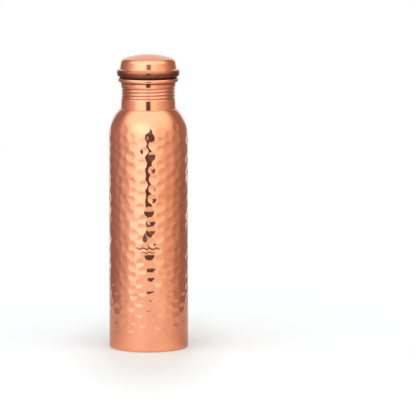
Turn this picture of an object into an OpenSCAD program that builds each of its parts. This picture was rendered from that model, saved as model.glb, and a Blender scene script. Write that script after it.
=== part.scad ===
// Screw-cap water bottle of copper sheet: a straight body with a ball-shaped shoulder, a neck with a
// rolled thread and lip, and a domed cap on a threaded plug.
// +Z is up, and the origin is the middle of the ring that the bottle stands on.

/* [Sheet] */
// Thickness of the copper sheet that every metal piece is pressed or spun from
sheet = 0.5; // [0.4:0.05:0.6]

/* [Body] */
// Outside diameter of the straight wall
body_d = 75; // [72:0.5:80]
// Height at which the straight wall turns into the shoulder
body_h = 201.5; // [150:0.5:240]
// Outside radius of the turn from the wall into the foot
foot_r = 2.5; // [2:0.5:4]
// Width of the flat ring that the bottle stands on
foot_w = 2; // [1.5:0.5:3]
// Height of the dish pressed into the base disc
base_dish = 3.5; // [2:0.5:6]

/* [Neck] */
// Outside diameter of the neck at its foot and under its lip
neck_d = 52; // [51:0.2:54]
// Height of the neck, from the crease at the shoulder to the top of the lip
neck_h = 28.6; // [27:0.2:34]
// Outside diameter of the rolled lip
lip_d = 57.5; // [57:0.5:60]
// Height of the rolled lip
lip_h = 4.2; // [3.6:0.2:5]

/* [Thread] */
// Pitch of the thread, which is single and right-handed
pitch = 3.2; // [2.4:0.2:4]
// Depth that the thread is rolled to
thread_depth = 0.8; // [0.4:0.1:0.9]
// Length of the thread along the neck
thread_len = 12; // [8:1:13]
// Radial gap between the neck's thread and the plug's
thread_gap = 0.25; // [0.2:0.05:0.35]

/* [Cap] */
// Diameter over the bead round the cap's lower edge
cap_d = 59.8; // [59:0.2:62]
// Height of the bead
bead_h = 6.6; // [5.8:0.2:8]
// Diameter of the skirt where it rises from the bead
skirt_d = 53.8; // [53:0.2:55]
// Diameter of the skirt where it turns into the dome
crown_d = 52; // [51:0.2:53]
// Height of the skirt between the bead and the dome
skirt_h = 5.4; // [4:0.2:12]
// Radius of the dome across the top
dome_r = 70; // [60:1:120]
// Radius of the turn from the dome into the skirt
dome_edge_r = 5; // [3:0.5:7]
// Thickness of the gasket between the lip and the cap
gasket_t = 1.5; // [1:0.25:2.5]

/* [Hidden] */
$fn = 96;

COPPER = "#d98d66";
POLISHED = "#e39a72";
DARK_SILICONE = "#2e2725";

braze_gap = 0.05;
seat_gap = 0.05;
thread_sides = 48;
ring_step = 0.4;
run_out = 1.5;
thread_lap = 0.3;
thread_inset = 0.08;

body_r = body_d / 2;
neck_r = neck_d / 2;
bore_r = neck_r - sheet;
throat_r = neck_r - 0.3;
crease_z = body_h + sqrt(pow(body_r, 2) - pow(neck_r, 2));
lip_top = crease_z + neck_h;
lip_z = lip_top - lip_h / 2;
thread_top = lip_top - 8.6;
thread_foot = thread_top - thread_len;

foot_in_r = body_r - foot_r - foot_w;
flare_w = 3.5;
flare_turn_r = 1;

plug_root_r = throat_r - sheet - thread_gap - thread_depth;
plug_foot = thread_foot - 1.6;
plug_corner_r = 1.5;
plug_edge_w = 1.8;
shank_r = plug_root_r + 0.5;
shank_foot = thread_top + 2;
brim_r = cap_d / 2 - 1.35;
brim_h = 3.6;
brim_turn_r = 0.9;
brim_fillet_r = 0.4;

gasket_foot = lip_top + seat_gap;
gasket_in_r = shank_r + 0.1;
gasket_out_r = lip_d / 2 - 1.6;
cap_foot = gasket_foot + gasket_t + seat_gap;
hem_r = cap_d / 2 - 3.1;
brim_foot = cap_foot + sheet + braze_gap;
bead_corner_r = 0.8;
bead_corner_in = 1.2;
bead_round_r = 3;
bead_lean = 10;
skirt_fillet_r = 0.6;

// Points on an arc about c, from angle a0 to angle a1 in n steps.
function arc(c, r, a0, a1, n) = oval(c, r, r, a0, a1, n);

// Points on an oval arc about c, with half-axes rx and ry.
function oval(c, rx, ry, a0, a1, n) =
    [for (i = [0:n]) let (a = a0 + (a1 - a0) * i / n) c + [rx * cos(a), ry * sin(a)]];

// The unit vector to the right of the way from p to q.
function right_of(p, q) = let (d = (q - p) / norm(q - p)) [d[1], -d[0]];

// The line at distance t to the right of the polyline p, mitred at each point and kept off the far side
// of the axis.
function beside(p, t) = let (last = len(p) - 1) [
    for (i = [0:last])
        let (
            before = right_of(p[max(i - 1, 0)], p[max(i, 1)]),
            after = right_of(p[min(i, last - 1)], p[min(i + 1, last)]),
            q = p[i] + t * (before + after) / (1 + before * after)
        )
        [max(q[0], 0), q[1]]
];

function reverse(p) = [for (i = [len(p) - 1:-1:0]) p[i]];

// A shell of revolution one sheet thick. The profile is one face of it, and the metal lies on the
// right-hand side of the way that the profile runs.
module spun(profile) {
    rotate_extrude() polygon(concat(profile, reverse(beside(profile, sheet))));
}

// Height of a thread over its root, from 0 in the groove to 1 on the crest. It rises by one pitch a turn
// to the right, and it fades out over run_out at both ends.
function crest(z, a) = 0.5 + 0.5 * cos(360 * z / pitch - a);
function ramp(x) = let (t = min(max(x, 0), 1)) t * t * (3 - 2 * t);
function fade(z) = ramp((z - thread_foot) / run_out) * ramp((thread_top - z) / run_out);

neck_thread_r = function (z, a) throat_r - thread_depth * fade(z) * (1 - crest(z, a));
plug_thread_r = function (z, a) plug_root_r + thread_depth * fade(z) * crest(z, a);

// A tube one sheet thick, from thread_foot to thread_top, whose outer face is radius(height, angle). Both
// ends run on inside the wall of the plain shell that they join.
module threaded_tube(radius) {
    steps = ceil(thread_len / ring_step);
    middle = [for (j = [0:steps]) thread_foot + thread_len * j / steps];
    heights = concat([thread_foot - thread_lap], middle, [thread_top + thread_lap]);
    rings = len(heights);
    function inset(j) = j <= 1 || j >= rings - 2 ? thread_inset : 0;
    function face_r(side, j, a) =
        side == 0 ? radius(heights[j], a) - inset(j) : radius(heights[j], a) - sheet + inset(j);
    function at(side, j, i) = (side * rings + j) * thread_sides + i % thread_sides;
    points = [
        for (side = [0, 1], j = [0:rings - 1], i = [0:thread_sides - 1])
            let (a = 360 * i / thread_sides, r = face_r(side, j, a)) [r * cos(a), r * sin(a), heights[j]]
    ];
    faces = [
        for (j = [0:rings - 2], i = [0:thread_sides - 1]) each [
            [at(0, j, i), at(0, j + 1, i), at(0, j + 1, i + 1)],
            [at(0, j, i), at(0, j + 1, i + 1), at(0, j, i + 1)],
            [at(1, j, i), at(1, j + 1, i + 1), at(1, j + 1, i)],
            [at(1, j, i), at(1, j, i + 1), at(1, j + 1, i + 1)]
        ],
        for (i = [0:thread_sides - 1], end = [0, rings - 1])
            let (outer = [at(0, end, i), at(0, end, i + 1)], inner = [at(1, end, i + 1), at(1, end, i)])
            end == 0 ? concat(outer, inner) : reverse(concat(outer, inner))
    ];
    polyhedron(points, faces);
}

// Outer face of a pressed pan, from the top of its rim down and in to its middle. The floor lies at z,
// and the middle of it is dished up.
function pan(r, z, corner_r, rim_h, ring_r, dish_w, dish_h) = concat(
    [[r, z + rim_h]],
    arc([r - corner_r, z + corner_r], corner_r, 0, -90, 8),
    [for (t = [0:0.125:1]) [ring_r - dish_w * t, z + dish_h * ramp(t)]],
    [[0, z + dish_h]]
);

// The bottle's side: shoulder, straight wall and turned-in foot, drawn from one sheet.
module body_shell() {
    hole_a = acos((neck_r + 0.25) / (body_r - sheet));
    color(COPPER) spun(concat(
        arc([0, body_h], body_r, hole_a, 0, 24),
        arc([body_r - foot_r, foot_r], foot_r, 0, -90, 10),
        [[foot_in_r, 0]]
    ));
}

// Dished disc that closes the bottom. Its rim stands up inside the wall and is soldered there.
module base_disc() {
    corner_r = foot_r - sheet - braze_gap;
    color(COPPER) spun(pan(
        body_r - sheet - braze_gap, sheet + braze_gap, corner_r, 8.5, foot_in_r - 1.5, 5, base_dish
    ));
}

// Neck with its rolled thread and rolled lip. Its flared foot is brazed under the edge of the shoulder.
module neck_collar() {
    under_r = body_r - sheet - braze_gap;
    turn_a = acos((neck_r + flare_turn_r) / (under_r + flare_turn_r));
    turn_z = body_h + (under_r + flare_turn_r) * sin(turn_a);
    flare_a = acos((neck_r + flare_w) / under_r);
    lip_mid_r = (lip_d / 2 + bore_r) / 2;
    lip_half_w = (lip_d / 2 - bore_r) / 2;
    curl_end = acos((lip_mid_r - neck_r - 0.1) / lip_half_w) - 180;
    color(POLISHED) union() {
        spun(concat(
            [[throat_r, thread_foot], [neck_r, turn_z + 0.5]],
            arc([neck_r + flare_turn_r, turn_z], flare_turn_r, 180, 180 + turn_a, 6),
            arc([0, body_h], under_r, turn_a - 1, flare_a, 5)
        ));
        threaded_tube(neck_thread_r);
        spun(concat(
            [[throat_r - sheet, thread_top], [bore_r, thread_top + 1]],
            oval([lip_mid_r, lip_z], lip_half_w, lip_h / 2, 180, curl_end, 30)
        ));
    }
}

// Stepped silicone ring that the cap presses onto the lip.
module gasket() {
    gasket_top = gasket_foot + gasket_t;
    step_r = hem_r - 0.1;
    step_top = brim_foot - seat_gap;
    bulge = gasket_t / 2;
    color(DARK_SILICONE) rotate_extrude() polygon(concat(
        [[gasket_in_r, gasket_foot]],
        oval([gasket_out_r - 0.4, gasket_foot + bulge], 0.4, bulge, -90, 90, 8),
        [
            [step_r, gasket_top],
            [step_r, step_top],
            [gasket_in_r + brim_fillet_r, step_top],
            [gasket_in_r, step_top - brim_fillet_r]
        ]
    ));
}

// Visible cap: dome, skirt and bead, with the lower edge hemmed in under the plug's brim.
module cap_shell() {
    lean = atan((skirt_d - crown_d) / 2 / skirt_h);
    bead_z = cap_foot + bead_h - bead_round_r;
    skirt_foot = cap_foot + bead_h + skirt_fillet_r;
    edge = [crown_d / 2, skirt_foot + skirt_h] - dome_edge_r * [cos(lean), sin(lean)];
    edge_a = acos(edge[0] / (dome_r - dome_edge_r));
    dome_z = edge[1] - (dome_r - dome_edge_r) * sin(edge_a);
    color(POLISHED) spun(concat(
        arc([0, dome_z], dome_r, 90, edge_a, 12),
        arc(edge, dome_edge_r, edge_a - 4, lean, 10),
        arc([skirt_d / 2 + skirt_fillet_r, skirt_foot], skirt_fillet_r, 180 + lean, 255, 5),
        arc([cap_d / 2 - bead_round_r, bead_z], bead_round_r, 75, -bead_lean, 8),
        arc([cap_d / 2 - bead_corner_in, cap_foot + bead_corner_r], bead_corner_r, -bead_lean, -90, 5),
        [[hem_r, cap_foot]]
    ));
}

// Threaded plug that holds the cap in the neck. Its brim turns up inside the bead.
module cap_plug() {
    color(COPPER) union() {
        spun(concat(
            [[brim_r, brim_foot + brim_h]],
            arc([brim_r - brim_turn_r, brim_foot + brim_turn_r], brim_turn_r, 0, -90, 5),
            arc([shank_r + brim_fillet_r, brim_foot - brim_fillet_r], brim_fillet_r, 90, 180, 4),
            [[shank_r, shank_foot], [plug_root_r, shank_foot - 1], [plug_root_r, thread_top]]
        ));
        threaded_tube(plug_thread_r);
        spun(concat(
            [[plug_root_r, thread_foot]],
            arc([plug_root_r - plug_corner_r, plug_foot + plug_corner_r], plug_corner_r, 0, -90, 6),
            [[plug_root_r - plug_corner_r - plug_edge_w, plug_foot]]
        ));
    }
}

// Dished disc that closes the bottom of the plug.
module plug_disc() {
    corner_r = plug_corner_r - sheet - braze_gap;
    ring_r = plug_root_r - plug_corner_r - plug_edge_w - 0.7;
    color(COPPER) spun(pan(
        plug_root_r - sheet - braze_gap, plug_foot + sheet + braze_gap, corner_r, 4, ring_r, 3, 1.5
    ));
}

body_shell();
base_disc();
neck_collar();
gasket();
cap_shell();
cap_plug();
plug_disc();
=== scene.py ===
"""The looks of a copper water bottle: a hammered body, a spun neck and a screw cap with its threaded plug.

Every piece is a surface worked out with numpy round the bottle's axis, in metres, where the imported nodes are.
"""

import math

import bmesh
import bpy
import numpy as np
from bpy.props import FloatProperty, FloatVectorProperty, IntProperty, PointerProperty
from bpy.types import Operator, Panel, PropertyGroup
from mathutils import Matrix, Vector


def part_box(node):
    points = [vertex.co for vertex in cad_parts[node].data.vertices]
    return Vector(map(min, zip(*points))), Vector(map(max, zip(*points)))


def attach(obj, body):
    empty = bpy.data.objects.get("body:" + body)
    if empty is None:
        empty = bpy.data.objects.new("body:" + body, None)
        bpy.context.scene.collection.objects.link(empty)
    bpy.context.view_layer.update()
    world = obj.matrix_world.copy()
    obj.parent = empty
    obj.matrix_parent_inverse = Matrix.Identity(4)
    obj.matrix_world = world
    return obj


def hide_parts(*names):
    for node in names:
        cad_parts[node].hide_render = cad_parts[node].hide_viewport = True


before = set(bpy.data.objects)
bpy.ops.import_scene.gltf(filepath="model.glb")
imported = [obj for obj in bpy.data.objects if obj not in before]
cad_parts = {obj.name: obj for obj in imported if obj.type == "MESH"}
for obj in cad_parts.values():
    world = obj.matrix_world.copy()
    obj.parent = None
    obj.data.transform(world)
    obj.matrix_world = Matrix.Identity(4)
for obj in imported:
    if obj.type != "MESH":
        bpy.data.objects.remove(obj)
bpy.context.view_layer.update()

bl_info = {
    "name": "Copper Water Bottle",
    "version": (1, 0, 0),
    "blender": (4, 5, 0),
    "location": "3D View > Sidebar > Bottle",
    "description": "Builds a hammered copper bottle with a screw cap, and a white table to show it on",
    "category": "Add Mesh",
}

MM = 0.001
# Heights of the printed ink's outer face over the wall, and of its closed back inside the wall's sheet.
INK_UP, INK_DOWN = 0.02 * MM, -0.05 * MM
# The printed drops: how far to the right of the middle, how high, and how tall.
DROPS = ((-3 * MM, 109.5 * MM, 9 * MM), (3 * MM, 209.5 * MM, 6.5 * MM))
# The printed ripples: how high, how wide and how thick.
RIPPLES = ((99 * MM, 24 * MM, 1.5 * MM), (95.2 * MM, 15 * MM, 0.9 * MM))

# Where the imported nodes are. Each pair is a lowest and a highest corner.
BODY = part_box("body_shell")
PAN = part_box("base_disc")
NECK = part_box("neck_collar")
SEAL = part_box("gasket")
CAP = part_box("cap_shell")
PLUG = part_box("cap_plug")
PLUG_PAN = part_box("plug_disc")


# ------------------------------------------------------------------------------
# Sizes and colours
# ------------------------------------------------------------------------------


def linear(colour):
    """The linear RGBA of an sRGB hex colour such as "#c08060"."""
    parts = np.array([int(colour[i : i + 2], 16) for i in (1, 3, 5)]) / 255
    low, high = parts / 12.92, ((parts + 0.055) / 1.055) ** 2.4
    return (*np.where(parts <= 0.04045, low, high), 1.0)


def size(name, description, millimetres):
    """A length property. Its default is given in millimetres and held in metres."""
    return FloatProperty(
        name=name, description=description, default=millimetres * MM, unit="LENGTH", precision=5
    )


def colour(name, description, value):
    """A colour property. Its default is given as an sRGB hex colour and held as a linear one."""
    return FloatVectorProperty(
        name=name, description=description, default=linear(value), size=4, subtype="COLOR", min=0, max=1
    )


class BodySizes(PropertyGroup):
    """Sizes of the hammered body and its base."""

    sheet: size("Sheet", "Thickness of the copper sheet of every metal piece", 0.5)
    seam_gap: size("Seam gap", "Gap between two sheets that are soldered together", 0.05)
    shoulder_z: size("Shoulder height", "Height at which the straight wall turns into the shoulder", 201.5)
    foot_r: size("Foot turn", "Outside radius of the turn from the wall into the foot", 2.5)
    foot_w: size("Foot ring", "Width of the flat ring that the bottle stands on", 2)
    dish_w: size("Dish slope", "Width of the slope round the dish in the base disc", 5)
    dish_h: size("Dish", "Height of the dish in the base disc", 3.5)
    blow_spacing: size("Blow spacing", "Distance round the wall between two columns of hammer blows", 9.1)
    blow_pitch: size("Blow pitch", "Distance up the wall between two blows of a column", 10.3)
    blow_reach: size("Blow reach", "Radius of the dent that a blow leaves", 4.6)
    blow_depth: size("Blow depth", "Depth of the dent that a blow leaves", 0.38)
    blow_drift: FloatProperty(
        name="Blow drift",
        description="How far a column leans round the wall, per unit of height",
        default=-0.006,
    )
    blow_shift: size("Blow shift", "Distance round the wall by which the columns are turned", 2.2)
    blow_from: size("Hammered from", "Height of the lowest blows", 21)
    blow_to: size("Hammered to", "Height of the highest blows", 210)
    ridge_r: size("Ridge softness", "Height over which the ridge between two dents is rounded", 0.018)
    mesh_step: size("Mesh step", "Distance between neighbouring points of the outer face", 0.82)
    seed: IntProperty(name="Seed", description="Start of the random scatter of the blows", default=21)


class NeckSizes(PropertyGroup):
    """Sizes of the neck and of the thread that it shares with the plug."""

    neck_d: size("Neck", "Outside diameter of the neck at its foot and under its lip", 52)
    throat_in: size("Throat", "How much smaller the neck's radius is at the thread", 0.3)
    lip_d: size("Lip", "Outside diameter of the rolled lip", 57.5)
    lip_h: size("Lip height", "Height of the rolled lip", 4.2)
    flare_w: size("Flare", "Width of the flared foot under the shoulder", 3.5)
    flare_r: size("Flare turn", "Outside radius of the turn into the flared foot", 1)
    pitch: size("Pitch", "Pitch of the thread, which is single and right-handed", 3.2)
    depth: size("Depth", "Depth that the thread is rolled to", 0.8)
    thread_len: size("Thread length", "Length of the thread along the neck", 12)
    thread_drop: size("Thread drop", "Distance from the top of the lip down to the thread", 8.6)
    run_out: size("Run-out", "Length over which the thread fades at each end", 1.5)
    gap: size("Thread gap", "Radial gap between the neck's thread and the plug's", 0.25)


class CapSizes(PropertyGroup):
    """Sizes of the cap, its plug and its gasket."""

    bead_h: size("Bead height", "Height of the bead round the lower edge", 6.6)
    bead_r: size("Bead round", "Radius of the bead's upper round", 3)
    bead_foot_r: size("Bead foot", "Radius of the turn into the hem", 0.8)
    bead_foot_in: size("Bead foot inset", "Distance from the bead's outside in to that turn's middle", 1.2)
    hem_w: size("Hem", "Width of the edge turned in under the plug's brim", 3.1)
    skirt_d: size("Skirt", "Diameter of the skirt where it rises from the bead", 53.8)
    crown_d: size("Crown", "Diameter of the skirt where it turns into the dome", 52)
    skirt_h: size("Skirt height", "Height of the skirt between the bead and the dome", 5.4)
    fillet_r: size("Skirt fillet", "Radius between the bead and the skirt", 0.6)
    edge_r: size("Dome edge", "Radius of the turn from the dome into the skirt", 5)
    dome_r: size("Dome", "Radius of the dome across the top", 70)
    shank_step: size("Shank", "How much wider the plug's shank is than its thread's root", 0.5)
    brim_h: size("Brim height", "Height of the brim's turned-up rim", 3.6)
    plug_corner_r: size("Plug corner", "Outside radius of the plug's lower corner", 1.5)
    plug_edge_w: size("Plug edge", "Width of the edge turned in under the plug's disc", 1.8)
    plug_dish_w: size("Plug dish slope", "Width of the slope round the dish in the plug's disc", 3)
    plug_dish_h: size("Plug dish", "Height of the dish in the plug's disc", 1.5)
    seal_h: size("Seal height", "Height of the gasket between lip and cap", 1.5)


class CopperColours(PropertyGroup):
    """Colours of the bottle's materials."""

    bright: colour("Bright copper", "Freshly polished copper", "#F8A985")
    warm: colour("Warm copper", "Copper a few days after polishing", "#F2A07A")
    aged: colour("Aged copper", "Copper that has begun to brown", "#D98B66")
    heat: colour("Heated copper", "Painted shade left by soldering and pressing", "#A8694B")
    # The painted shade's colour, for grooves and the undersides of the cap's bead and the neck's lip.
    film: colour("Painted shade", "Painted shade in grooves and under the cap's bead and the lip", "#894C39")
    silicone: colour("Silicone", "Moulded silicone of the gasket", "#241613")
    dust: colour("Dust", "House dust on the gasket", "#A09590")
    ink: colour("Ink", "Baked printing ink", "#4A2418")
    table: colour("Table", "Lit white table", "#FFFFFF")


class StudioSizes(PropertyGroup):
    """Sizes of the table, the lights and the camera."""

    table_w: size("Table width", "Width of the lit white table", 500)
    table_front: size("Table front", "Distance from the bottle to the table's front edge", 850)
    table_back: size("Table back", "Distance from the bottle to the table's back edge", 3000)
    camera_side: size("Camera side", "How far the camera stands to the right of the bottle", 56.4)
    camera_away: size("Camera distance", "How far the camera stands in front of the bottle", 2990.5)
    camera_z: size("Camera height", "Height of the camera over the table", 518.4)
    camera_tilt: FloatProperty(
        name="Camera tilt",
        description="Angle that the camera looks down",
        default=math.radians(7.348),
        subtype="ANGLE",
    )
    lens: FloatProperty(name="Lens", description="Focal length in millimetres", default=275.0)


# ------------------------------------------------------------------------------
# Profiles: polylines of (radius, height) points
# ------------------------------------------------------------------------------


def arc(centre, radius, start, end, step):
    """Points of an arc: centre + (a cos t, b sin t), with t from start to end in degrees, about step apart.

    The radius is one number, or the pair (a, b) of an oval.
    """
    a, b = np.broadcast_to(radius, 2)
    sweep = abs(math.radians(end - start)) * max(a, b)
    t = np.radians(np.linspace(start, end, max(3, math.ceil(sweep / step) + 1)))
    return np.column_stack((centre[0] + a * np.cos(t), centre[1] + b * np.sin(t)))


def joined(step, *parts):
    """One polyline through all the parts, with each straight gap between two parts cut into equal steps."""
    path = [np.atleast_2d(parts[0])]
    for part in map(np.atleast_2d, parts[1:]):
        start, gap = path[-1][-1], part[0] - path[-1][-1]
        cuts = max(1, math.ceil(np.linalg.norm(gap) / step))
        path.append(start + gap * (np.arange(1, cuts) / cuts)[:, None])
        path.append(part)
    path = np.vstack(path)
    apart = np.linalg.norm(np.diff(path, axis=0), axis=1) > 1e-3 * MM
    return path[np.append(True, apart)]


def beside(path, distance):
    """The polyline at a distance to the right of a path.

    Each point moves along the mitre of its two segments, by distance (n1 + n2) / (1 + n1 · n2), where n1 and
    n2 are the segments' unit normals. Nothing crosses the axis.
    """
    way = np.diff(path, axis=0)
    way /= np.linalg.norm(way, axis=1)[:, None]
    right = np.column_stack((way[:, 1], -way[:, 0]))
    before, after = np.vstack((right[:1], right)), np.vstack((right, right[-1:]))
    mitre = (before + after) / (1 + np.sum(before * after, axis=1))[:, None]
    moved = path + distance * mitre
    moved[:, 0] = np.maximum(moved[:, 0], 0)
    return moved


def filed_edge(near, far, ahead):
    """Points round the cut edge of a sheet: a flat half oval from near to far that bulges the way ahead."""
    middle, half = (near + far) / 2, (near - far) / 2
    bulge = 0.5 * np.linalg.norm(half) * ahead / np.linalg.norm(ahead)
    t = np.radians([30, 60, 90, 120, 150])[:, None]
    return middle + half * np.cos(t) + bulge * np.sin(t)


def sheet_loop(path, sheet):
    """The closed outline of a sheet whose one face is the path and whose metal lies to the path's right."""
    other = beside(path, sheet)
    end = filed_edge(path[-1], other[-1], path[-1] - path[-2])
    start = filed_edge(other[0], path[0], path[0] - path[1])
    return np.vstack((path, end, other[::-1], start))


def sheet_cup(path, sheet):
    """The outline of a sheet that starts and ends on the axis: the path, its far edge and the other face."""
    other = beside(path, sheet)
    end = filed_edge(path[-1], other[-1], path[-1] - path[-2])
    return np.vstack((path, end, other[::-1]))


def ramp(x):
    """A smooth rise from 0 at x = 0 to 1 at x = 1: x²(3 - 2x)."""
    x = np.clip(x, 0, 1)
    return x * x * (3 - 2 * x)


# ------------------------------------------------------------------------------
# Surfaces: grids of points whose columns run round in a ring
# ------------------------------------------------------------------------------


def surface(name, points, poles=False, along=None, marks=None):
    """A closed mesh from a grid of points [row, column, xyz].

    Columns join in a ring. Rows join in a ring too, or with poles the first and last row shrink to a point
    each. The UV map holds the share of the turn and the distance along in metres. marks is a number at each
    point, kept as a point attribute: how much painted shade darkens the copper there. If the volume comes out
    negative, all faces are turned round.
    """
    rows, columns = points.shape[:2]
    index = np.arange(rows * columns).reshape(rows, columns)
    if poles:
        index[0], index[-1] = index[0, 0], index[-1, 0]
    else:
        index = np.vstack((index, index[:1]))
    index = np.column_stack((index, index[:, :1]))
    corners = np.stack((index[:-1, :-1], index[:-1, 1:], index[1:, 1:], index[1:, :-1]), axis=-1)
    corners = corners.reshape(-1, 4)

    if along is None:
        along = np.append(0, np.cumsum(np.linalg.norm(np.diff(points[:, 0], axis=0), axis=1)))
    along = np.broadcast_to(along, rows)
    if not poles:
        along = np.append(along, along[-1] + np.linalg.norm(points[0, 0] - points[-1, 0]))
    turn = np.arange(columns + 1) / columns
    u, v = np.meshgrid(turn, along)
    uv = np.stack((u, v), axis=-1)
    corner_uv = np.stack((uv[:-1, :-1], uv[:-1, 1:], uv[1:, 1:], uv[1:, :-1]), axis=2).reshape(-1, 4, 2)

    flat = points.reshape(-1, 3)
    a, b, c, d = (flat[corners[:, k]] for k in range(4))
    volume = np.sum(a * np.cross(b, c)) + np.sum(a * np.cross(c, d))
    if volume < 0:
        corners, corner_uv = corners[:, ::-1], corner_uv[:, ::-1]

    # A quad beside a pole has one corner twice, and becomes a triangle without it.
    keep = corners != np.roll(corners, 1, axis=1)
    used = np.unique(corners)
    order = np.zeros(rows * columns, int)
    order[used] = np.arange(len(used))
    faces = [order[quad[kept]].tolist() for quad, kept in zip(corners, keep)] if poles else order[corners]

    mesh = bpy.data.meshes.new(name)
    mesh.from_pydata(flat[used], [], faces)
    mesh.polygons.foreach_set("use_smooth", np.ones(len(mesh.polygons), bool))
    layer = mesh.uv_layers.new(name="turned")
    layer.data.foreach_set("uv", corner_uv[keep].astype(np.float32).ravel())
    if marks is not None:
        browning_and_painted_shade = mesh.attributes.new("browning_and_painted_shade", "FLOAT", "POINT")
        browning_and_painted_shade.data.foreach_set("value", marks.reshape(-1)[used].astype(np.float32))
    mesh.validate()
    return mesh


def turned(name, outline, columns, poles=False, relief=None, marks=None):
    """The surface that an outline sweeps round the axis: (r cos a, r sin a, z) for a from 0 to a full turn.

    relief and marks are grids [row, column]. The relief moves each point out from the axis, and the marks
    give the painted shade.
    """
    radius = outline[:, :1] + (0 if relief is None else relief)
    angle = turn_angles(columns)
    radius, height = np.broadcast_arrays(radius, outline[:, 1:], np.zeros((1, columns)))[:2]
    points = np.stack((radius * np.cos(angle), radius * np.sin(angle), height), axis=-1)
    along = np.append(0, np.cumsum(np.linalg.norm(np.diff(outline, axis=0), axis=1)))
    return surface(name, points, poles, along, marks)


def turn_angles(columns):
    """The angle of each column round the axis, in radians."""
    return np.arange(columns) * math.tau / columns


def place(mesh, material, body, node):
    """Puts a piece into the scene, riding on a body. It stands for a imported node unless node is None."""
    mesh.materials.append(material)
    piece = bpy.data.objects.new(mesh.name, mesh)
    bpy.context.scene.collection.objects.link(piece)
    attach(piece, body)
    if node:
        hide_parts(node)
    return piece


# ------------------------------------------------------------------------------
# Materials
# ------------------------------------------------------------------------------


def add(tree, kind, *values, inputs=None, output=None, **settings):
    """Adds a node with its settings and links, and gives back its first enabled output, or the one named.

    The values go to the enabled inputs in their order, and inputs holds more of them by name. Each is a
    value, or a socket to link from.
    """
    node = tree.nodes.new(kind)
    for name, value in settings.items():
        setattr(node, name, value)
    ends = list(zip((socket for socket in node.inputs if socket.enabled), values))
    ends += [(node.inputs[name], value) for name, value in (inputs or {}).items()]
    for socket, value in ends:
        if isinstance(value, bpy.types.NodeSocket):
            tree.links.new(value, socket)
        else:
            socket.default_value = value
    return node.outputs[output] if output else next((out for out in node.outputs if out.enabled), None)


def per(millimetres):
    """The texture scale at which a pattern repeats about every so many millimetres."""
    return 1 / (millimetres * MM)


def new_material(name):
    """An empty material, its node tree and its Object coordinates."""
    material = bpy.data.materials.new(name)
    material.use_nodes = True
    tree = material.node_tree
    tree.nodes.clear()
    return material, tree, add(tree, "ShaderNodeTexCoord", output="Object")


def copper_tones(tree, coords, first, second, third, patch):
    """Copper's colour in soft patches: two close tones, and a browner one in a few of them."""
    lumps = add(tree, "ShaderNodeTexNoise", coords, per(patch), 2.0)
    share = add(tree, "ShaderNodeMapRange", lumps, 0.35, 0.65, 0.0, 1.0)
    tone = add(tree, "ShaderNodeMix", share, first, second, data_type="RGBA")
    spots = add(tree, "ShaderNodeTexNoise", coords, per(patch * 0.6), 4.0)
    browning_and_painted_shade = add(tree, "ShaderNodeMapRange", spots, 0.56, 0.8, 0.0, 0.5)
    return add(tree, "ShaderNodeMix", browning_and_painted_shade, tone, third, data_type="RGBA")


def lathe_rings(tree, millimetres, detail, roughness):
    """Fine rings round the axis, so many millimetres apart: a noise along the turned UV map."""
    turned_uv = add(tree, "ShaderNodeUVMap", uv_map="turned")
    along = add(tree, "ShaderNodeSeparateXYZ", turned_uv, output="Y")
    return add(tree, "ShaderNodeTexNoise", along, per(millimetres), detail, roughness, noise_dimensions="1D")


def hammered_copper(colours):
    """Planished and polished copper: every blow has left a small hollow mirror."""
    material, tree, coords = new_material("hammered copper")
    tone = copper_tones(tree, coords, colours.bright, colours.warm, colours.aged, 45)
    # Handling leaves smears a few centimetres long, which dull the polish a little.
    smear = add(tree, "ShaderNodeTexNoise", coords, per(18), 5.0, inputs={"Distortion": 0.6})
    roughness = add(tree, "ShaderNodeMapRange", smear, 0.35, 0.75, 0.055, 0.12)
    # The polishing mop's grain is under 0.1 mm. It is drawn at 0.6 mm, so that it shows.
    grain = add(tree, "ShaderNodeTexNoise", coords, per(0.6), 3.0)
    normal = add(tree, "ShaderNodeBump", inputs={"Height": grain, "Strength": 0.25, "Distance": 0.004 * MM})
    metal = {"Base Color": tone, "Metallic": 1.0, "Roughness": roughness, "Normal": normal}
    shader = add(tree, "ShaderNodeBsdfPrincipled", inputs=metal)
    add(tree, "ShaderNodeOutputMaterial", shader)
    return material


def spun_copper(colours):
    """Copper spun on a lathe and polished: fine rings round the axis, which draw reflections out upwards."""
    material, tree, coords = new_material("spun copper")
    tone = copper_tones(tree, coords, colours.bright, colours.warm, colours.aged, 30)
    # The tool's rings are about 0.2 mm apart. They are drawn at 0.9 mm, so that they show.
    ring = lathe_rings(tree, 0.9, 5.0, 0.75)
    worn = add(tree, "ShaderNodeMapRange", ring, 0.5, 0.85, 0.0, 0.45)
    tone = add(tree, "ShaderNodeMix", worn, tone, colours.aged, data_type="RGBA")
    # Painted shade: grooves and the undersides of edges are darkened towards the shade colour, by a point
    # attribute that the neck and the cap carry.
    browning_and_painted_shade = add(tree, "ShaderNodeAttribute", attribute_name="browning_and_painted_shade", output="Fac")
    tone = add(tree, "ShaderNodeMix", browning_and_painted_shade, tone, colours.film, data_type="RGBA")
    smear = add(tree, "ShaderNodeTexNoise", coords, per(12), 4.0)
    roughness = add(tree, "ShaderNodeMapRange", smear, 0.35, 0.75, 0.09, 0.15)
    normal = add(tree, "ShaderNodeBump", inputs={"Height": ring, "Strength": 0.5, "Distance": 0.012 * MM})
    tangent = add(tree, "ShaderNodeTangent", direction_type="RADIAL", axis="Z")
    metal = {"Base Color": tone, "Metallic": 1.0, "Roughness": roughness, "Normal": normal}
    metal |= {"Anisotropic": 0.4, "Tangent": tangent}
    shader = add(tree, "ShaderNodeBsdfPrincipled", inputs=metal)
    add(tree, "ShaderNodeOutputMaterial", shader)
    return material


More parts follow.
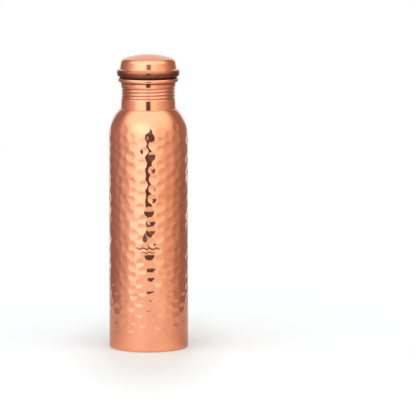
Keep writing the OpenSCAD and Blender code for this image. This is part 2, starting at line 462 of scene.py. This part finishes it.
def pressed_copper(colours):
    """Copper pressed in a die and left unpolished: satin, and browned by the heat of soldering."""
    material, tree, coords = new_material("pressed copper")
    tone = copper_tones(tree, coords, colours.warm, colours.aged, colours.heat, 14)
    # The die's own turning marks are finer. They are drawn at 0.7 mm, so that they show.
    ring = lathe_rings(tree, 0.7, 4.0, 0.7)
    normal = add(tree, "ShaderNodeBump", inputs={"Height": ring, "Strength": 0.5, "Distance": 0.02 * MM})
    stain = add(tree, "ShaderNodeTexNoise", coords, per(6), 5.0)
    roughness = add(tree, "ShaderNodeMapRange", stain, 0.3, 0.75, 0.2, 0.34)
    metal = {"Base Color": tone, "Metallic": 1.0, "Roughness": roughness, "Normal": normal}
    shader = add(tree, "ShaderNodeBsdfPrincipled", inputs=metal)
    add(tree, "ShaderNodeOutputMaterial", shader)
    return material


def moulded_silicone(colours):
    """Moulded silicone rubber: near black and matt, with a little dust that greys it in patches."""
    material, tree, coords = new_material("moulded silicone")
    specks = add(tree, "ShaderNodeTexNoise", coords, per(2.5), 6.0)
    dusty = add(tree, "ShaderNodeMapRange", specks, 0.5, 0.8, 0.0, 0.12)
    tone = add(tree, "ShaderNodeMix", dusty, colours.silicone, colours.dust, data_type="RGBA")
    sheen = add(tree, "ShaderNodeTexNoise", coords, per(1.2), 4.0)
    roughness = add(tree, "ShaderNodeMapRange", sheen, 0.3, 0.7, 0.42, 0.6)
    # The mould's grain is under 0.1 mm. It is drawn at 0.4 mm, so that it shows.
    pores = add(tree, "ShaderNodeTexNoise", coords, per(0.4), 3.0)
    normal = add(tree, "ShaderNodeBump", inputs={"Height": pores, "Strength": 0.3, "Distance": 0.02 * MM})
    rubber = {"Base Color": tone, "Roughness": roughness, "IOR": 1.41, "Normal": normal}
    shader = add(tree, "ShaderNodeBsdfPrincipled", inputs=rubber)
    add(tree, "ShaderNodeOutputMaterial", shader)
    return material


def baked_ink(colours):
    """Screen-printed ink baked on: dark brown, a little uneven, with a low gloss."""
    material, tree, coords = new_material("baked ink")
    wear = add(tree, "ShaderNodeTexNoise", coords, per(0.8), 4.0)
    worn = add(tree, "ShaderNodeMapRange", wear, 0.4, 0.8, 0.0, 0.5)
    tone = add(tree, "ShaderNodeMix", worn, colours.ink, colours.heat, data_type="RGBA")
    gloss = add(tree, "ShaderNodeTexNoise", coords, per(0.5), 3.0)
    roughness = add(tree, "ShaderNodeMapRange", gloss, 0.3, 0.7, 0.32, 0.5)
    print_coat = {"Base Color": tone, "Roughness": roughness, "IOR": 1.5}
    shader = add(tree, "ShaderNodeBsdfPrincipled", inputs=print_coat)
    add(tree, "ShaderNodeOutputMaterial", shader)
    return material


# ------------------------------------------------------------------------------
# Relief: hammer marks and thread
# ------------------------------------------------------------------------------


def hammer_marks(angle, height, sizes):
    """How deep the hammer has driven the wall in, at each angle and height.

    The wall is unrolled, with x = radius times angle. Blows stand in columns, every other column half a pitch
    higher, and each blow is moved at random. Its force is random too, and softer in the lower half. It leaves
    a round dent, depth (1 - d²/reach²) at a distance d from its middle, with a small tilt. The deepest dent
    wins, by the soft maximum k log(1 + sum of exp(dent/k)), whose 1 is the wall where no blow fell.
    """
    radius = BODY[1].x
    columns = 2 * round(math.pi * radius / sizes.blow_spacing)
    rows = round((sizes.blow_to - sizes.blow_from) / sizes.blow_pitch) + 1
    width = math.tau * radius / columns
    pitch = (sizes.blow_to - sizes.blow_from) / (rows - 0.5)
    scatter = np.random.default_rng(sizes.seed)
    side, rise = scatter.uniform(-0.24, 0.24, (2, columns, rows))
    softer = 0.7 + 0.3 * ramp(np.arange(rows) / (0.5 * rows))
    force = scatter.uniform(0.65, 1.15, (columns, rows)) * softer
    reach = scatter.uniform(0.86, 1.06, (columns, rows)) * sizes.blow_reach
    lean_x, lean_z = scatter.normal(0, 0.015, (2, columns, rows))

    x = (radius * angle + sizes.blow_shift + sizes.blow_drift * height) / width
    z = (height - sizes.blow_from) / pitch
    total = np.ones(np.broadcast(x, z).shape)
    for column_step in (-1, 0, 1, 2):
        column = np.floor(x).astype(int) + column_step
        shift = 0.5 * (column % 2)
        for row_step in (-1, 0, 1, 2):
            row = np.floor(z - shift).astype(int) + row_step
            key = (column % columns, np.clip(row, 0, rows - 1))
            dx = (x - column - side[key]) * width
            dz = (z - shift - row - rise[key]) * pitch
            dent = force[key] * sizes.blow_depth * (1 - (dx * dx + dz * dz) / reach[key] ** 2)
            dent += lean_x[key] * dx + lean_z[key] * dz
            total += np.where((row >= 0) & (row < rows), np.exp(np.maximum(dent / sizes.ridge_r, -30)), 0)
    return sizes.ridge_r * np.log(total)


def thread_height(angle, height, sizes):
    """Height of a thread over its groove, from 0 to 1, and how much of it there is.

    The wave 0.5 + 0.5 cos(2π z / pitch - a) rises by one pitch a turn. It fades out at both ends.
    """
    top = NECK[1].z - sizes.thread_drop
    foot = top - sizes.thread_len
    wave = 0.5 + 0.5 * np.cos(math.tau * height / sizes.pitch - angle)
    return wave, ramp((height - foot) / sizes.run_out) * ramp((top - height) / sizes.run_out)


# ------------------------------------------------------------------------------
# Operators
# ------------------------------------------------------------------------------


class BOTTLE_OT_body(Operator):
    """Build the hammered body, with its shoulder and its turned-in foot"""

    bl_idname = "bottle.body"
    bl_label = "Hammered Body"

    def execute(self, context):
        sizes, neck = context.scene.bottle_body, context.scene.bottle_neck
        radius, step = BODY[1].x, sizes.mesh_step
        hole_r = neck.neck_d / 2 + 0.25 * MM
        hole = math.degrees(math.acos(hole_r / (radius - sizes.sheet)))
        foot = (radius - sizes.foot_r, sizes.foot_r)
        outside = joined(
            step,
            arc((0, sizes.shoulder_z), radius, hole, 0, step),
            arc(foot, sizes.foot_r, 0, -90, 0.4 * MM),
            (radius - sizes.foot_r - sizes.foot_w, 0),
        )
        inside = joined(
            15 * MM,
            arc((0, sizes.shoulder_z), radius - sizes.sheet, hole, 0, 4 * MM),
            arc(foot, sizes.foot_r - sizes.sheet, 0, -90, 1 * MM),
            (radius - sizes.foot_r - sizes.foot_w, sizes.sheet),
        )
        columns = round(math.tau * radius / (0.97 * step) / 4) * 4
        dents = hammer_marks(turn_angles(columns), outside[:, 1:], sizes)
        outline = np.vstack((
            outside,
            filed_edge(outside[-1], inside[-1], outside[-1] - outside[-2]),
            inside[::-1],
            filed_edge(inside[0], outside[0], outside[0] - outside[1]),
        ))
        relief = np.zeros((len(outline), columns))
        relief[: len(outside)] = -dents
        mesh = turned("hammered_body", outline, columns, relief=relief)
        place(mesh, hammered_copper(context.scene.bottle_colours), "bottle", "body_shell")
        return {"FINISHED"}


def pan_outline(radius, low, corner_r, rim_h, ring_r, dish_w, dish_h, sheet):
    """The outline of a dished pan, from the axis out under its floor, up its rim and back to the axis."""
    slope = np.linspace(1, 0, 16)[:, None]
    dish = np.column_stack((ring_r - dish_w * slope, low + dish_h * ramp(slope)))
    under = joined(
        1.5 * MM,
        (0, low + dish_h),
        dish,
        arc((radius - corner_r, low + corner_r), corner_r, -90, 0, 0.3 * MM),
        (radius, low + rim_h),
    )
    return sheet_cup(under, -sheet)


class BOTTLE_OT_base(Operator):
    """Build the dished disc that closes the bottom of the body"""

    bl_idname = "bottle.base"
    bl_label = "Base Disc"

    def execute(self, context):
        sizes = context.scene.bottle_body
        corner_r = sizes.foot_r - sizes.sheet - sizes.seam_gap
        dish_in = 1.5 * MM
        ring_r = BODY[1].x - sizes.foot_r - sizes.foot_w - dish_in
        low, rim_h = PAN[0].z, PAN[1].z - PAN[0].z
        dish = sizes.dish_w, sizes.dish_h
        outline = pan_outline(PAN[1].x, low, corner_r, rim_h, ring_r, *dish, sizes.sheet)
        mesh = turned("base_pan", outline, 160, poles=True)
        place(mesh, pressed_copper(context.scene.bottle_colours), "bottle", "base_disc")
        return {"FINISHED"}


class BOTTLE_OT_neck(Operator):
    """Build the neck, with its rolled thread, its rolled lip and its flared foot"""

    bl_idname = "bottle.neck"
    bl_label = "Threaded Neck"

    def execute(self, context):
        body, sizes = context.scene.bottle_body, context.scene.bottle_neck
        sheet, neck_r = body.sheet, sizes.neck_d / 2
        throat_r, bore_r = neck_r - sizes.throat_in, neck_r - sheet
        top = NECK[1].z - sizes.thread_drop
        foot = top - sizes.thread_len
        under_r = BODY[1].x - sheet - body.seam_gap
        turn = math.degrees(math.acos((neck_r + sizes.flare_r) / (under_r + sizes.flare_r)))
        turn_z = body.shoulder_z + (under_r + sizes.flare_r) * math.sin(math.radians(turn))
        flare = math.degrees(math.acos((neck_r + sizes.flare_w) / under_r))
        outer_foot = joined(
            0.8 * MM,
            (throat_r, foot),
            (neck_r, turn_z + 0.5 * MM),
            arc((neck_r + sizes.flare_r, turn_z), sizes.flare_r, 180, 180 + turn, 0.2 * MM),
            arc((0, body.shoulder_z), under_r, turn - 1, flare, 0.8 * MM),
        )
        lip_mid, lip_half = (sizes.lip_d / 2 + bore_r) / 2, (sizes.lip_d / 2 - bore_r) / 2
        lip = (lip_mid, NECK[1].z - sizes.lip_h / 2)
        curl_end = math.degrees(math.acos((lip_mid - neck_r - 0.1 * MM) / lip_half)) - 180
        inner = joined(
            0.22 * MM,
            beside(outer_foot, sheet)[::-1],
            (throat_r - sheet, foot),
            (throat_r - sheet, top),
            (bore_r, top + 1 * MM),
            arc(lip, (lip_half, sizes.lip_h / 2), 180, curl_end, 0.25 * MM),
        )
        outline = sheet_loop(inner, sheet)
        columns = 180
        wave, present = thread_height(turn_angles(columns), outline[:, 1:], sizes)
        # Painted shade darkens the copper a little in the thread's groove, and fully in the groove under
        # the lip, where it falls off as exp(-d²) with d in millimetres.
        groove_z = NECK[1].z - sizes.lip_h - 0.4 * MM
        painted_shade_under_lip = np.exp(-(((outline[:, 1:] - groove_z) / MM) ** 2))
        browning_and_painted_shade = np.maximum(0.45 * present * (1 - wave), painted_shade_under_lip)
        relief = -sizes.depth * present * (1 - wave)
        mesh = turned("threaded_neck", outline, columns, relief=relief, marks=browning_and_painted_shade)
        place(mesh, spun_copper(context.scene.bottle_colours), "bottle", "neck_collar")
        return {"FINISHED"}


class BOTTLE_OT_seal(Operator):
    """Build the stepped silicone gasket between the lip and the cap"""

    bl_idname = "bottle.seal"
    bl_label = "Gasket"

    def execute(self, context):
        cap = context.scene.bottle_cap
        low, high, outer_r, clear = SEAL[0].z, SEAL[1].z, SEAL[1].x, 0.1 * MM
        inner_r, step_r = shank_radius(context.scene) + clear, CAP[1].x - cap.hem_w - clear
        round_r, top_r, bulge_w, bulge_h = 0.15 * MM, 0.4 * MM, 0.4 * MM, cap.seal_h / 2
        outline = joined(
            0.3 * MM,
            arc((inner_r + round_r, low + round_r), round_r, 180, 270, 0.08 * MM),
            arc((outer_r - bulge_w, low + bulge_h), (bulge_w, bulge_h), -90, 90, 0.1 * MM),
            (step_r, low + cap.seal_h),
            arc((step_r - round_r, high - round_r), round_r, 0, 90, 0.08 * MM),
            arc((inner_r + top_r, high - top_r), top_r, 90, 180, 0.1 * MM),
            (inner_r, low + 2 * round_r),
        )
        mesh = turned("seal_ring", outline, 160)
        place(mesh, moulded_silicone(context.scene.bottle_colours), "seal", "gasket")
        return {"FINISHED"}


class BOTTLE_OT_cap(Operator):
    """Build the domed cap, with its skirt, its bead and its turned-in hem"""

    bl_idname = "bottle.cap"
    bl_label = "Domed Cap"

    def execute(self, context):
        sheet, sizes = context.scene.bottle_body.sheet, context.scene.bottle_cap
        low, radius, step = CAP[0].z, CAP[1].x, 0.35 * MM
        # Angles in degrees that the skirt leans in upwards and the bead leans in downwards.
        lean = math.degrees(math.atan((sizes.skirt_d - sizes.crown_d) / 2 / sizes.skirt_h))
        bead_lean = 10
        skirt_z = low + sizes.bead_h + sizes.fillet_r
        out = np.array((math.cos(math.radians(lean)), math.sin(math.radians(lean))))
        edge = np.array((sizes.crown_d / 2, skirt_z + sizes.skirt_h)) - sizes.edge_r * out
        edge_turn = math.degrees(math.acos(edge[0] / (sizes.dome_r - sizes.edge_r)))
        dome_z = edge[1] - (sizes.dome_r - sizes.edge_r) * math.sin(math.radians(edge_turn))
        bead = (radius - sizes.bead_r, low + sizes.bead_h - sizes.bead_r)
        bead_foot = (radius - sizes.bead_foot_in, low + sizes.bead_foot_r)
        outside = joined(
            step,
            arc((0, dome_z), sizes.dome_r, 90, edge_turn, 1.2 * MM),
            arc(edge, sizes.edge_r, edge_turn - 3, lean, step),
            arc((sizes.skirt_d / 2 + sizes.fillet_r, skirt_z), sizes.fillet_r, 180 + lean, 255, 0.15 * MM),
            arc(bead, sizes.bead_r, 75, -bead_lean, 0.25 * MM),
            arc(bead_foot, sizes.bead_foot_r, -bead_lean, -90, 0.15 * MM),
            (radius - sizes.hem_w, low),
        )
        outside[0, 0] = 0
        outline = sheet_cup(outside, sheet)
        # Painted shade: most of it starts just under the bead's top, and the rest comes in down to its foot.
        under = low + sizes.bead_h - 0.2 * MM - outline[:, 1:]
        columns = 240
        browning_and_painted_shade = 0.72 * ramp(under / (1.2 * MM)) + 0.28 * ramp(under / (5 * MM))
        browning_and_painted_shade = np.broadcast_to(browning_and_painted_shade, (len(outline), columns))
        mesh = turned("domed_cap", outline, columns, poles=True, marks=browning_and_painted_shade)
        place(mesh, spun_copper(context.scene.bottle_colours), "cap", "cap_shell")
        return {"FINISHED"}


def plug_root(scene):
    """Radius of the plug's thread at its root."""
    neck, body = scene.bottle_neck, scene.bottle_body
    return neck.neck_d / 2 - neck.throat_in - body.sheet - neck.gap - neck.depth


def shank_radius(scene):
    """Radius of the plug's plain shank above its thread."""
    return plug_root(scene) + scene.bottle_cap.shank_step


class BOTTLE_OT_plug(Operator):
    """Build the plug, with its brim, its shank and its thread"""

    bl_idname = "bottle.plug"
    bl_label = "Threaded Plug"

    def execute(self, context):
        scene, sizes, neck = context.scene, context.scene.bottle_cap, context.scene.bottle_neck
        sheet, root_r, shank_r = scene.bottle_body.sheet, plug_root(scene), shank_radius(scene)
        top = NECK[1].z - neck.thread_drop
        brim_r, brim_z = PLUG[1].x, PLUG[1].z - sizes.brim_h
        corner_r, turn_r, fillet_r = sizes.plug_corner_r, 0.9 * MM, 0.4 * MM
        outside = joined(
            0.22 * MM,
            (brim_r, PLUG[1].z),
            arc((brim_r - turn_r, brim_z + turn_r), turn_r, 0, -90, 0.25 * MM),
            arc((shank_r + fillet_r, brim_z - fillet_r), fillet_r, 90, 180, 0.15 * MM),
            (shank_r, top + 2 * MM),
            (root_r, top + 1 * MM),
            arc((root_r - corner_r, PLUG[0].z + corner_r), corner_r, 0, -90, 0.25 * MM),
            (root_r - corner_r - sizes.plug_edge_w, PLUG[0].z),
        )
        outline = sheet_loop(outside, sheet)
        columns = 180
        wave, present = thread_height(turn_angles(columns), outline[:, 1:], neck)
        mesh = turned("threaded_plug", outline, columns, relief=neck.depth * present * wave)
        place(mesh, pressed_copper(scene.bottle_colours), "cap", "cap_plug")
        return {"FINISHED"}


class BOTTLE_OT_plug_disc(Operator):
    """Build the dished disc that closes the bottom of the plug"""

    bl_idname = "bottle.plug_disc"
    bl_label = "Plug Disc"

    def execute(self, context):
        body, sizes = context.scene.bottle_body, context.scene.bottle_cap
        corner_r = sizes.plug_corner_r - body.sheet - body.seam_gap
        dish_in = 0.7 * MM
        ring_r = plug_root(context.scene) - sizes.plug_corner_r - sizes.plug_edge_w - dish_in
        low, rim_h = PLUG_PAN[0].z, PLUG_PAN[1].z - PLUG_PAN[0].z
        dish = sizes.plug_dish_w, sizes.plug_dish_h
        outline = pan_outline(PLUG_PAN[1].x, low, corner_r, rim_h, ring_r, *dish, body.sheet)
        mesh = turned("plug_pan", outline, 128, poles=True)
        place(mesh, pressed_copper(context.scene.bottle_colours), "cap", "plug_disc")
        return {"FINISHED"}


class BOTTLE_OT_mark(Operator):
    """Print plain marks on the front of the body: a water drop over two ripples, and a small drop above"""

    bl_idname = "bottle.mark"
    bl_label = "Printed Mark"

    def execute(self, context):
        sizes = context.scene.bottle_body
        t = np.arange(64) * math.tau / 64
        # A drop's edge: x = 0.36 sin t |sin(t/2)|^1.6 and z = 0.5 cos t, pointed at the top, where t = 0.
        edge = np.column_stack((0.36 * np.sin(t) * np.abs(np.sin(t / 2)) ** 1.6, 0.5 * np.cos(t)))
        share = np.append(np.linspace(0, 1, 9), np.linspace(1, 0, 4))
        lift = np.append(np.full(9, INK_UP), np.full(4, INK_DOWN))
        meshes = []
        for side, height, tall in DROPS:
            flat = share[:, None, None] * tall * edge + (side, height)
            meshes.append(surface("drop", on_wall(flat, lift[:, None], sizes), poles=True))
        for height, width, thick in RIPPLES:
            meshes.append(surface("ripple", ripple(height, width, thick, sizes), poles=True))
        mesh = merged("printed_mark", meshes)
        place(mesh, baked_ink(context.scene.bottle_colours), "bottle", None)
        return {"FINISHED"}


def on_wall(flat, lift, sizes):
    """Points (x, z) of a flat drawing, laid on the front of the hammered wall and raised by lift.

    The wall is straight up to the shoulder, and a ball's face above it.
    """
    angle = flat[..., 0] / BODY[1].x - math.pi / 2
    climb = np.maximum(flat[..., 1] - sizes.shoulder_z, 0)
    wall = np.sqrt(BODY[1].x ** 2 - climb**2)
    radius = wall - hammer_marks(angle, flat[..., 1], sizes) + lift
    return np.stack((radius * np.cos(angle), radius * np.sin(angle), flat[..., 1]), axis=-1)


def ripple(height, width, thick, sizes):
    """A printed ripple: a band along z = height + 0.6 mm sin(2π x / 6 mm), rounded off at both ends."""
    x = np.linspace(-width / 2, width / 2, 60)
    middle = np.column_stack((x, height + 0.6 * MM * np.sin(math.tau * x / (6 * MM))))
    half = thick / 2 * np.sqrt(np.clip(1 - (2 * x / width) ** 6, 0, 1))
    across = np.array((-1, -0.33, 0.33, 1, 1, 0.33, -0.33, -1))
    lift = np.where(np.arange(8) < 4, INK_UP, INK_DOWN)
    flat = np.stack(np.broadcast_arrays(middle[:, :1], middle[:, 1:] + half[:, None] * across), axis=-1)
    return on_wall(flat, lift[None], sizes)


def merged(name, meshes):
    """One mesh that holds several, which are then removed."""
    whole = bmesh.new()
    for mesh in meshes:
        whole.from_mesh(mesh)
        bpy.data.meshes.remove(mesh)
    mesh = bpy.data.meshes.new(name)
    whole.to_mesh(mesh)
    whole.free()
    return mesh


# The dark gap between the two soft boxes, in degrees to the right of straight ahead: where its left edge
# starts and ends, where its right edge starts and ends, and how far it leans to the right on its way up.
GAP_LEFT, GAP_RIGHT, GAP_LEAN = (-10.0, -7.5), (9.5, 12.0), 3.0
# Each soft box's way from the bottle, its strength, and the half angle of its cone in degrees.
SOFT_BOXES = (((-0.4, -0.9, 0.17), 0.6, 42.0), ((0.34, -0.936, 0.09), 0.35, 26.0))
# The brightest that the studio gets without them.
BRIGHTEST = 1.65


def studio_light(tree):
    """How bright the studio is in each direction, seen from the bottle, and in what colour.

    It is brightest up and to the front, and falls off to the sides and back. Two soft boxes stand left and
    right of the camera, with a narrow dark gap between them, and a white sheet hangs behind.
    """
    way = add(tree, "ShaderNodeTexCoord", output="Generated")
    smooth = {"interpolation_type": "SMOOTHSTEP"}
    ahead = add(tree, "ShaderNodeVectorMath", way, (0, -1, 0), operation="DOT_PRODUCT")
    aside = add(tree, "ShaderNodeVectorMath", way, (1, 0, 0), operation="DOT_PRODUCT")
    high = add(tree, "ShaderNodeVectorMath", way, (0, 0, 1), operation="DOT_PRODUCT")

    level = add(tree, "ShaderNodeMapRange", ahead, -0.6, 1.0, 0.32, 1.08, **smooth)
    upwards = add(tree, "ShaderNodeMapRange", high, 0.0, 0.8, 0.0, 1.0, **smooth)
    forwards = add(tree, "ShaderNodeVectorMath", way, (0, -0.8, 0.6), operation="DOT_PRODUCT")
    forwards = add(tree, "ShaderNodeMapRange", forwards, 0.0, 0.6, 0.0, 1.0, **smooth)
    level = add(tree, "ShaderNodeMath", upwards, forwards, level, operation="MULTIPLY_ADD")
    level = add(tree, "ShaderNodeMath", level, BRIGHTEST, operation="MINIMUM")
    for aim, strength, cone in SOFT_BOXES:
        box = add(tree, "ShaderNodeVectorMath", way, aim, operation="DOT_PRODUCT")
        rim = math.cos(math.radians(cone))
        box = add(tree, "ShaderNodeMapRange", box, rim, 1.0, 0.0, strength, **smooth)
        level = add(tree, "ShaderNodeMath", level, box, operation="ADD")
    below = add(tree, "ShaderNodeMapRange", high, -0.3, 0.0, 0.85, 1.0, **smooth)
    level = add(tree, "ShaderNodeMath", level, below, operation="MULTIPLY")

    # The gap is the studio's dark doorway. It leans, and fades out upwards.
    across = add(tree, "ShaderNodeMath", aside, ahead, operation="ARCTAN2")
    lean = add(tree, "ShaderNodeMapRange", high, 0.05, 0.35, 0.0, math.radians(GAP_LEAN), **smooth)
    leaning = add(tree, "ShaderNodeMath", across, lean, operation="SUBTRACT")
    gap = add(tree, "ShaderNodeMapRange", high, 0.2, 0.38, 0.92, 0.0, **smooth)
    for (start, end), shares in ((GAP_LEFT, (0.0, 1.0)), (GAP_RIGHT, (1.0, 0.0))):
        start, end = math.radians(start), math.radians(end)
        side = add(tree, "ShaderNodeMapRange", leaning, start, end, *shares, **smooth)
        gap = add(tree, "ShaderNodeMath", gap, side, operation="MULTIPLY")
    lit = add(tree, "ShaderNodeMath", 1.0, gap, operation="SUBTRACT")
    level = add(tree, "ShaderNodeMath", level, lit, operation="MULTIPLY")
    behind = add(tree, "ShaderNodeMath", across, operation="ABSOLUTE")
    edge = math.radians(147), math.radians(154)
    behind = add(tree, "ShaderNodeMapRange", behind, *edge, 0.0, 0.9, **smooth)
    level = add(tree, "ShaderNodeMath", level, behind, operation="MAXIMUM")

    # Light off the dim parts of the room is warmer, and the soft box on the right is a warmer one.
    dim, full = (1.12, 0.9, 0.92, 1), (0.97, 1.08, 1.12, 1)
    share = add(tree, "ShaderNodeMapRange", level, 0.3, 1.4, 0.0, 1.0, **smooth)
    hue = add(tree, "ShaderNodeMix", share, dim, full, data_type="RGBA")
    right = add(tree, "ShaderNodeVectorMath", way, (0.96, -0.28, 0), operation="DOT_PRODUCT")
    right = add(tree, "ShaderNodeMapRange", right, 0.3, 0.85, 0.0, 1.0, **smooth)
    warm = add(tree, "ShaderNodeMix", right, (1, 1, 1, 1), (0.96, 0.88, 0.75, 1), data_type="RGBA")
    return level, add(tree, "ShaderNodeVectorMath", hue, warm, operation="MULTIPLY")


def lit_acrylic(colours):
    """White acrylic, sanded matt and lit from beneath.

    The lamps under it are aimed at the viewer. What they send to the bottle is weaker and warm, and falls off
    from the table's front to its sides. A painted shadow darkens the table's colour round the bottle's foot,
    stretched to the front and back, as the viewer sees it, on top of the shadow that the bottle casts. To the
    bottle, the table's colour is a plain darker grey.
    """
    material, tree, coords = new_material("lit white acrylic")
    seen = add(tree, "ShaderNodeLightPath", output="Is Camera Ray")
    way = add(tree, "ShaderNodeVectorMath", coords, operation="NORMALIZE")
    way = add(tree, "ShaderNodeSeparateXYZ", way, output="Y")
    front = add(tree, "ShaderNodeMapRange", way, 0.1, -0.9, 0.0, 1.0)
    strength = add(tree, "ShaderNodeMath", front, 0.38, 0.1, operation="MULTIPLY_ADD")
    glow = add(tree, "ShaderNodeMix", seen, strength, 0.12)
    hue = add(tree, "ShaderNodeMix", front, (1, 0.5, 0.35, 1), (0.9, 0.9, 0.86, 1), data_type="RGBA")
    hue = add(tree, "ShaderNodeMix", seen, hue, colours.table, data_type="RGBA")
    # Painted shadow: the table's colour darkens round the bottle's foot, in an oval stretched to the front and
    # back.
    apart = add(tree, "ShaderNodeVectorMath", coords, (1, 0.35, 0), operation="MULTIPLY")
    apart = add(tree, "ShaderNodeVectorMath", apart, operation="LENGTH")
    clear = add(tree, "ShaderNodeMapRange", apart, 38 * MM, 85 * MM, 0.0, 1.0)
    face = add(tree, "ShaderNodeMix", clear, (0.65, 0.63, 0.61, 1), (0.76, 0.75, 0.74, 1), data_type="RGBA")
    face = add(tree, "ShaderNodeMix", seen, (0.42, 0.42, 0.42, 1), face, data_type="RGBA")
    acrylic = {"Base Color": face, "Roughness": 0.6, "Emission Color": hue, "Emission Strength": glow}
    shader = add(tree, "ShaderNodeBsdfPrincipled", inputs=acrylic)
    add(tree, "ShaderNodeOutputMaterial", shader)
    return material


class BOTTLE_OT_stage(Operator):
    """Set up the white table, the studio's light and the camera"""

    bl_idname = "bottle.stage"
    bl_label = "Studio"

    def execute(self, context):
        scene, sizes = context.scene, context.scene.bottle_studio
        half, front, back = sizes.table_w / 2, -sizes.table_front, sizes.table_back
        mesh = bpy.data.meshes.new("table")
        corners = [(-half, front, 0), (half, front, 0), (half, back, 0), (-half, back, 0)]
        mesh.from_pydata(corners, [], [(0, 1, 2, 3)])
        mesh.materials.append(lit_acrylic(scene.bottle_colours))
        table = bpy.data.objects.new("table", mesh)
        scene.collection.objects.link(table)

        # The surround is plain white to the viewer, and the studio's own light to the bottle.
        world = bpy.data.worlds.new("studio")
        world.use_nodes = True
        tree = world.node_tree
        tree.nodes.clear()
        seen = add(tree, "ShaderNodeLightPath", output="Is Camera Ray")
        level, hue = studio_light(tree)
        lit = add(tree, "ShaderNodeBackground", hue, level)
        white = add(tree, "ShaderNodeBackground", (1, 1, 1, 1), 1.0)
        mixed = add(tree, "ShaderNodeMixShader", seen, lit, white)
        add(tree, "ShaderNodeOutputWorld", mixed)
        scene.world = world
        scene.view_settings.view_transform = "Standard"

        camera = bpy.data.cameras.new("camera")
        camera.lens, camera.sensor_width, camera.clip_end = sizes.lens, 36, 100
        stand = bpy.data.objects.new("camera", camera)
        stand.location = (sizes.camera_side, -sizes.camera_away, sizes.camera_z)
        stand.rotation_euler = (math.pi / 2 - sizes.camera_tilt, 0, 0)
        scene.collection.objects.link(stand)
        scene.camera = stand
        return {"FINISHED"}


PIECES = (
    BOTTLE_OT_body,
    BOTTLE_OT_base,
    BOTTLE_OT_neck,
    BOTTLE_OT_seal,
    BOTTLE_OT_cap,
    BOTTLE_OT_plug,
    BOTTLE_OT_plug_disc,
    BOTTLE_OT_mark,
    BOTTLE_OT_stage,
)
GROUPS = {
    "bottle_body": BodySizes,
    "bottle_neck": NeckSizes,
    "bottle_cap": CapSizes,
    "bottle_colours": CopperColours,
    "bottle_studio": StudioSizes,
}


class BOTTLE_PT_panel(Panel):
    """Lists the bottle's pieces and sizes"""

    bl_label = "Copper Bottle"
    bl_idname = "BOTTLE_PT_panel"
    bl_space_type = "VIEW_3D"
    bl_region_type = "UI"
    bl_category = "Bottle"

    def draw(self, context):
        for piece in PIECES:
            self.layout.operator(piece.bl_idname)
        for name, group in GROUPS.items():
            box = self.layout.box()
            for key in group.__annotations__:
                box.prop(getattr(context.scene, name), key)


def register():
    for group in GROUPS.values():
        bpy.utils.register_class(group)
    for name, group in GROUPS.items():
        setattr(bpy.types.Scene, name, PointerProperty(type=group))
    for piece in (*PIECES, BOTTLE_PT_panel):
        bpy.utils.register_class(piece)


def unregister():
    for piece in (*PIECES, BOTTLE_PT_panel):
        bpy.utils.unregister_class(piece)
    for name, group in GROUPS.items():
        delattr(bpy.types.Scene, name)
        bpy.utils.unregister_class(group)


def main():
    """Builds every piece and the stage."""
    register()
    for piece in PIECES:
        group, name = piece.bl_idname.split(".")
        getattr(getattr(bpy.ops, group), name)()


if __name__ == "__main__":
    main()
